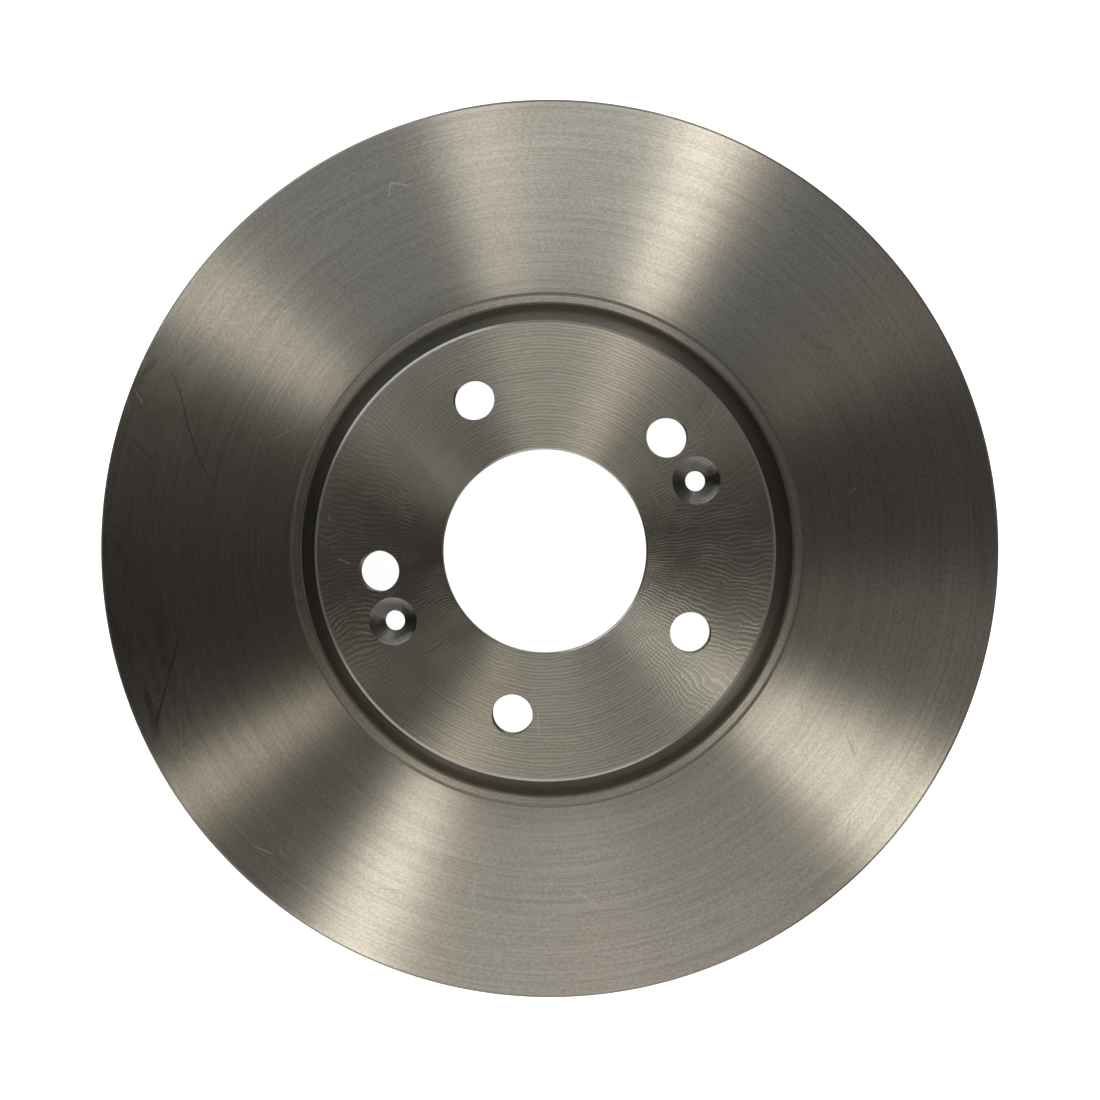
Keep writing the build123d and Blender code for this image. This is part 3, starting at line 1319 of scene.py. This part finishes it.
@dataclass
class CoolingVanes(Section):
    """The straight ribs between the two plates."""

    count: int = 40
    width: float = 5.0 * MM
    fillet: float = 2.0 * MM
    inlet_setback: float = 5.0 * MM
    rim_setback: float = 3.0 * MM
    sunk: float = 0.1 * MM
    spine_steps: int = 12
    end_steps: int = 10
    fillet_steps: int = 5

    name, node, slot = "cooling_vane_ring", "cooling_vanes", "cast_surface"
    sharp: ClassVar[float] = 50.0

    def start(self) -> bpy.types.Mesh:
        """One vane along +X, with its feet run out into both plates.

        Returns:
            The vane's mesh.
        """
        s, low, high = self.sizes, self.sizes.vent_bottom, self.sizes.vent_top
        inner = s.inboard_bore + self.inlet_setback + self.width / 2
        outer = s.disc_radius - self.rim_setback - self.width / 2
        turns = [math.pi / 2 * i / self.fillet_steps for i in range(self.fillet_steps + 1)]
        foot = [(self.fillet * (1 - math.sin(t)), self.fillet * (1 - math.cos(t))) for t in turns]
        levels = [
            (low - self.sunk, self.fillet), *((low + rise, swell) for swell, rise in foot),
            *((high - rise, swell) for swell, rise in reversed(foot)),
            (high + self.sunk, self.fillet)]
        steps = range(self.spine_steps + 1)
        spine = [inner + (outer - inner) * i / self.spine_steps for i in steps]
        caps = [math.pi * i / self.end_steps for i in range(1, self.end_steps)]
        points: list[tuple[float, float, float]] = []
        for height, swell in levels:
            half = self.width / 2 + swell
            loop = [(x, -half) for x in spine]
            loop += [(outer + half * math.sin(t), -half * math.cos(t)) for t in caps]
            loop += [(x, half) for x in reversed(spine)]
            loop += [(inner - half * math.sin(t), half * math.cos(t)) for t in caps]
            points += [(x, y, height) for x, y in loop]
        n, last = len(points) // len(levels), len(levels) - 1
        faces = [
            (k * n + i, k * n + (i + 1) % n, (k + 1) * n + (i + 1) % n, (k + 1) * n + i)
            for k in range(last) for i in range(n)]
        faces += [tuple(reversed(range(n))), tuple(range(last * n, (last + 1) * n))]
        mesh = bpy.data.meshes.new("one_vane")
        mesh.from_pydata(points, [], faces)
        return mesh

    def values(self) -> dict[str, float]:
        """The number of vanes and the sand skin on them."""
        return {"Count": self.count, "Skin Depth": 0.35 * MM, "Grain": 5 * MM, "Seed": 4.0}

    def tree(self) -> bpy.types.NodeTree:
        """The geometry tree that sets the vanes round the disc.

        Returns:
            The tree.
        """
        bench = Bench.group(
            f"build_{self.name}", "Geometry", "Vane:Geometry, Count:Int, Skin Depth, Grain, Seed",
            "Piece:Geometry")
        t = bench.takes
        axis = bench.add("GeometryNodePoints", {"Count": t["Count"]})
        angle = bench.add("GeometryNodeInputIndex") / t["Count"] * FULL_TURN
        swing = bench.add("ShaderNodeCombineXYZ", {2: angle})
        vanes = bench.add(
            "GeometryNodeInstanceOnPoints",
            {"Points": axis, "Instance": t["Vane"], "Rotation": swing})
        real = bench.add("GeometryNodeRealizeInstances", {0: vanes})
        wobble = bench.noise(
            bench.add("GeometryNodeInputPosition"), t["Seed"], scale=1.0 / t["Grain"])
        offset = bench.add("GeometryNodeInputNormal") * ((wobble - 0.5) * t["Skin Depth"])
        rough = bench.add("GeometryNodeSetPosition", {"Geometry": real, "Offset": offset})
        return bench.give(Piece=bench.dress(rough, self.materials[Skin.CAST]))


# --- Floor, light and camera ---


class Band(Enum):
    """How high a light stands and how tall it is, in degrees seen from the disc."""

    BOX = (42.0, 45.0)
    WALL = (40.0, 50.0)
    LOW = (6.0, 12.0)
    LOW_WALL = (7.0, 11.0)


@dataclass(frozen=True)
class Softbox:
    """A soft studio light that stands beside the disc and faces it."""

    name: str
    band: Band
    azimuth: float
    width: float
    strength: float
    colour: Colour
    distance: float = 1.3

    def build(self, centre: Vector) -> None:
        """Places the light.

        Args:
            centre: the point that it faces.
        """
        elevation, height = self.band.value
        turn, rise = math.radians(self.azimuth), math.radians(elevation)
        lamp = bpy.data.lights.new(self.name, "AREA")
        lamp.shape = "RECTANGLE"
        ground = self.distance * math.cos(rise)
        lamp.size = 2 * ground * math.tan(math.radians(self.width) / 2)
        lamp.size_y = 2 * self.distance * math.tan(math.radians(height) / 2)
        lamp.energy = self.strength * math.pi * lamp.size * lamp.size_y
        lamp.color = self.colour
        light = link(self.name, lamp)
        away = Vector(
            (math.cos(turn) * ground, math.sin(turn) * ground, self.distance * math.sin(rise)))
        back = away.normalized()
        side = Vector((0, 0, 1)).cross(back).normalized()
        stand = Matrix((side, back.cross(side), back)).transposed().to_4x4()
        stand.translation = centre + away
        light.matrix_world = stand
        light.visible_camera = False
        log.info("%s: %.0f degrees wide", self.name, self.width)


@dataclass
class Studio:
    """The pale floor, the soft lights and the camera."""

    sizes: Sizes
    view_turn: float = 42.9
    view_pitch: float = 0.74
    view_roll: float = -1.51
    view_distance: float = 0.5
    view_shift: Point = (-1.45 * MM, -0.14 * MM)
    lens: float = 46.0
    floor_half: float = 3.0
    floor_gap: float = 0.2 * MM

    def lights(self) -> tuple[Softbox, ...]:
        """The softboxes, by azimuth in the camera's upright frame."""
        return (
            Softbox("box_upper_right", Band.BOX, 69.5, 8.5, 4.8, (1.0, 0.99, 0.93)),
            Softbox("wall_upper_right", Band.WALL, 83.0, 22.0, 1.95, (0.95, 1.0, 1.03)),
            Softbox("box_top", Band.BOX, 101.3, 9.5, 3.1, (1.0, 0.99, 0.95)),
            Softbox("wall_top", Band.WALL, 120.0, 30.0, 0.55, (0.88, 1.0, 1.08)),
            Softbox("box_upper_left", Band.BOX, 144.8, 10.0, 1.85, (1.0, 0.98, 0.93)),
            Softbox("box_lower_left", Band.BOX, 214.0, 6.0, 2.4, (1.0, 0.97, 0.87)),
            Softbox("wall_lower_left", Band.WALL, 228.0, 14.0, 0.07, (1.0, 0.98, 0.95)),
            Softbox("box_bottom_left", Band.BOX, 242.0, 9.0, 4.6, (1.0, 0.98, 0.92)),
            Softbox("wall_bottom", Band.WALL, 280.0, 60.0, 1.24, (1.0, 0.98, 0.98)),
            Softbox("box_lower_right", Band.BOX, 321.5, 14.0, 4.3, (1.0, 1.0, 0.94)),
            Softbox("wall_right", Band.WALL, 342.0, 22.0, 0.38, (1.0, 0.97, 0.95)),
            Softbox("wall_far_right", Band.WALL, 36.0, 18.0, 0.34, (1.0, 0.97, 0.98)),
            Softbox("wall_dim_right", Band.WALL, 5.0, 46.0, 0.12, (1.0, 0.97, 1.02)),
            Softbox("wall_cool", Band.WALL, 52.0, 14.0, 0.42, (0.80, 0.96, 1.2)),
            Softbox("low_window", Band.LOW, 129.0, 50.0, 6.2, (0.86, 0.94, 1.0)),
            Softbox("low_wall_bottom", Band.LOW, 253.0, 92.0, 4.5, (1.0, 0.98, 0.94)),
            Softbox("low_wall_right", Band.LOW_WALL, 30.0, 60.0, 0.06, (1.0, 0.98, 0.94)),
        )

    def camera(self) -> None:
        """Sets up the camera."""
        data = bpy.data.cameras.new("camera")
        data.lens = self.lens
        data.sensor_width = 36.0
        camera = link("camera", data)
        seen = (
            Matrix.Translation((*self.view_shift, -self.view_distance))
            @ Matrix.Rotation(math.radians(self.view_pitch), 4, "X")
            @ Matrix.Rotation(math.radians(self.view_roll), 4, "Y")
            @ Matrix.Rotation(math.radians(self.view_turn), 4, "Z")
            @ Matrix.Translation((0.0, 0.0, -self.sizes.outboard_face)))
        camera.matrix_world = seen.inverted()
        bpy.context.scene.camera = camera

    def floor(self) -> None:
        """Lays the pale floor under the disc, which is clear from below."""
        mesh = bpy.data.meshes.new("floor")
        half, height = self.floor_half, self.sizes.inboard_face - self.floor_gap
        corners = ((-half, -half), (half, -half), (half, half), (-half, half))
        mesh.from_pydata([(x, y, height) for x, y in corners], [], [(0, 1, 2, 3)])
        floor = link("floor", mesh)
        material = bpy.data.materials.new("pale_floor")
        bench = Bench.blank(material)
        seen = bench.add("ShaderNodeLightPath")["Is Camera Ray"]
        shader = bench.add(
            "ShaderNodeBsdfPrincipled",
            {"Base Color": (0.85, 0.85, 0.85, 1.0), "Roughness": 0.9,
             "Emission Color": (1.0, 1.0, 1.0, 1.0), "Emission Strength": seen.spread(0.04, 0.95)})
        clear = bench.add("ShaderNodeBsdfTransparent")
        back = bench.add("ShaderNodeNewGeometry")["Backfacing"]
        mixed = bench.add("ShaderNodeMixShader", {0: back, 1: shader, 2: clear})
        bench.add("ShaderNodeOutputMaterial", {"Surface": mixed})
        mesh.materials.append(material)

    def world(self) -> None:
        """Fills the room with a little soft light, behind a pale backdrop."""
        world = bpy.data.worlds.new("room")
        bench = Bench.blank(world)
        seen = bench.add("ShaderNodeLightPath")["Is Camera Ray"]
        dim, pale = (
            bench.add("ShaderNodeBackground", {"Color": (*colour, 1.0), "Strength": strength})
            for colour, strength in (((1.0, 0.93, 0.90), 0.045), ((0.95, 0.95, 0.95), 1.0)))
        mixed = bench.add("ShaderNodeMixShader", {0: seen, 1: dim, 2: pale})
        bench.add("ShaderNodeOutputWorld", {"Surface": mixed})
        bpy.context.scene.world = world

    def build(self) -> None:
        """Builds the whole studio."""
        bpy.context.scene.view_settings.view_transform = "Standard"
        self.camera()
        self.floor()
        self.world()
        centre = Vector((0.0, 0.0, self.sizes.outboard_face))
        for box in self.lights():
            replace(box, azimuth=box.azimuth - self.view_turn).build(centre)


def main() -> None:
    """Builds the disc and its studio."""
    logging.basicConfig(level=logging.INFO, format="%(name)s: %(message)s")
    effects = Effects()
    materials = {finish.skin: finish.build(effects) for finish in FINISHES}
    sizes = Sizes.from_frame()
    Studio(sizes).build()
    lathe = lathe_group()
    for section in (HubFlange, HatWall, NeckWeb, OutboardPlate, InboardPlate):
        section(sizes, materials, lathe).build()
    CoolingVanes(sizes, materials).build()


if __name__ == "__main__":
    main()
